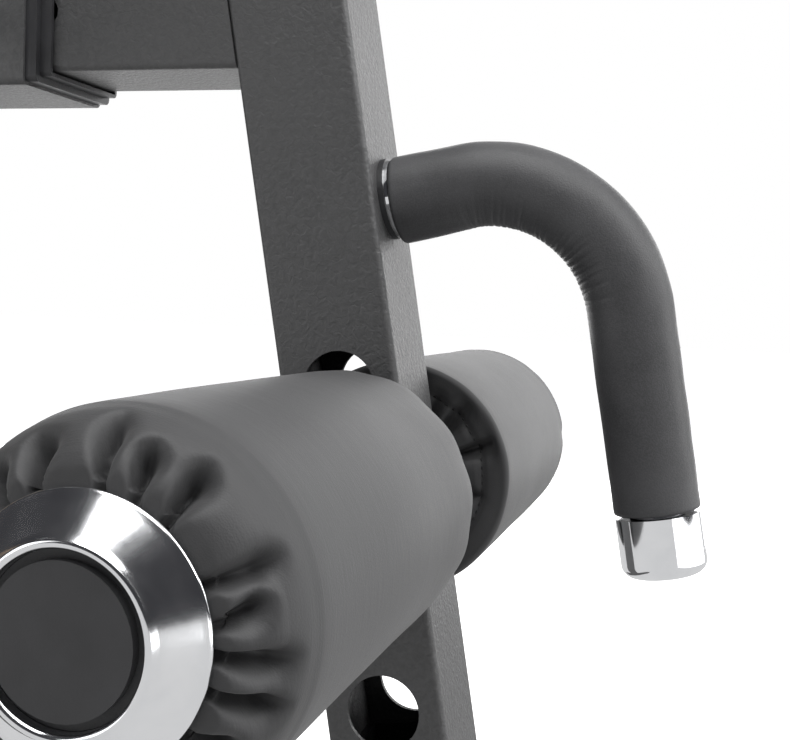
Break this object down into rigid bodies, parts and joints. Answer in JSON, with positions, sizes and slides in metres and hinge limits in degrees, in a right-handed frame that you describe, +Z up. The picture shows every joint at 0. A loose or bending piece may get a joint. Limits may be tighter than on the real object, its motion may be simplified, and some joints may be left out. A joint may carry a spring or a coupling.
{
  "type": "decline sit up bench",
  "caption": "Declining sit-up bench with a padded board on a tilting rail, upholstered knee and ankle rollers on a sliding boom, a curved foam handle and transport wheels.",
  "frame": {"origin": "middle of the whole object's box, on the floor", "axes": "+X to the foot end, +Y to the left of a person lying on the pad, +Z up"},
  "size_m": [1.6468, 0.648, 0.768],
  "materials": {
    "frame_paint": "black wrinkle powder coat, satin",
    "black_plastic": "moulded black plastic",
    "knob_plastic": "black knob on a steel rod",
    "wheel_plastic": "hard black plastic",
    "leatherette": "fine-grained black leatherette over foam",
    "inner_foam": "closed-cell foam",
    "grip_foam": "dense satin foam with a fine skin",
    "chrome": "polished chrome",
    "zinc_steel": "bright zinc",
    "rubber": "moulded rubber",
    "plywood": "raw plywood"
  },
  "bodies": {
    "frame": {"base_spine": "frame_paint", "front_foot": "frame_paint", "rear_foot": "frame_paint", "tube_end_caps": "black_plastic", "rubber_feet": "rubber", "front_upright": "frame_paint", "upright_gusset": "frame_paint", "boom_sleeve": "frame_paint", "sleeve_collar": "black_plastic", "knee_post": "frame_paint", "pivot_bracket": "frame_paint", "index_plate": "frame_paint", "pivot_bolt": "zinc_steel", "pivot_nut": "zinc_steel", "boom_pin_barrel": "zinc_steel", "boom_pin_spring": "zinc_steel", "knee_axle": "zinc_steel", "knee_collars": "black_plastic", "knee_end_caps": "chrome", "knee_cap_bolts": "zinc_steel", "knee_cap_plugs": "black_plastic", "wheel_bolts": "zinc_steel"},
    "boom_carriage": {"boom": "frame_paint", "boom_glide": "black_plastic", "post": "frame_paint", "post_end_caps": "black_plastic", "handle_tube": "chrome", "handle_flange": "black_plastic", "handle_ring": "chrome", "handle_grip": "grip_foam", "handle_end_cap": "chrome", "ankle_axle": "zinc_steel", "ankle_collars": "black_plastic", "ankle_end_caps": "chrome", "ankle_cap_bolts": "zinc_steel", "ankle_cap_plugs": "black_plastic"},
    "pad_assembly": {"pad_rail": "frame_paint", "pad_rail_cap": "black_plastic", "pin_cheeks": "frame_paint", "pad_plates": "frame_paint", "pad_board": "plywood", "pad_cushion": "leatherette", "pad_bolts": "zinc_steel", "decline_pin_barrel": "zinc_steel"},
    "ankle_roller_left": {"ankle_core_left": "black_plastic", "ankle_foam_left": "inner_foam", "ankle_cover_left": "leatherette"},
    "ankle_roller_right": {"ankle_core_right": "black_plastic", "ankle_foam_right": "inner_foam", "ankle_cover_right": "leatherette"},
    "knee_roller_left": {"knee_core_left": "black_plastic", "knee_foam_left": "inner_foam", "knee_cover_left": "leatherette"},
    "knee_roller_right": {"knee_core_right": "black_plastic", "knee_foam_right": "inner_foam", "knee_cover_right": "leatherette"},
    "boom_plunger": {"boom_pin": "knob_plastic"},
    "decline_plunger": {"decline_pin": "knob_plastic"},
    "wheel_l": {"wheel_left": "wheel_plastic"},
    "wheel_r": {"wheel_right": "wheel_plastic"}
  },
  "joints": [
    {"name": "boom_slide", "type": "slide", "parent": "frame", "child": "boom_carriage", "axis": [1, 0, 0], "range_m": [-0.05, 0.075]},
    {"name": "pad_tilt", "type": "hinge", "parent": "frame", "child": "pad_assembly", "pos_m": [0.15662, 0, 0.612], "axis": [0, 1, 0], "range_deg": [-28, 0]},
    {"name": "ankle_spin_left", "type": "hinge", "parent": "boom_carriage", "child": "ankle_roller_left", "pos_m": [0.65662, 0.16, 0.345], "axis": [0, 1, 0], "continuous": true},
    {"name": "ankle_spin_right", "type": "hinge", "parent": "boom_carriage", "child": "ankle_roller_right", "pos_m": [0.65662, -0.16, 0.345], "axis": [0, 1, 0], "continuous": true},
    {"name": "knee_spin_left", "type": "hinge", "parent": "frame", "child": "knee_roller_left", "pos_m": [0.35662, 0.16, 0.705], "axis": [0, 1, 0], "continuous": true},
    {"name": "knee_spin_right", "type": "hinge", "parent": "frame", "child": "knee_roller_right", "pos_m": [0.35662, -0.16, 0.705], "axis": [0, 1, 0], "continuous": true},
    {"name": "wheel_spin_l", "type": "hinge", "parent": "frame", "child": "wheel_l", "pos_m": [-0.74338, 0.255, 0.038], "axis": [0, 1, 0], "continuous": true},
    {"name": "wheel_spin_r", "type": "hinge", "parent": "frame", "child": "wheel_r", "pos_m": [-0.74338, -0.255, 0.038], "axis": [0, 1, 0], "continuous": true},
    {"name": "boom_pin_push", "type": "slide", "parent": "frame", "child": "boom_plunger", "axis": [0, 1, 0], "range_m": [0, 0.013]},
    {"name": "decline_pin_push", "type": "slide", "parent": "pad_assembly", "child": "decline_plunger", "axis": [0, 1, 0], "range_m": [0, 0.013]}
  ]
}
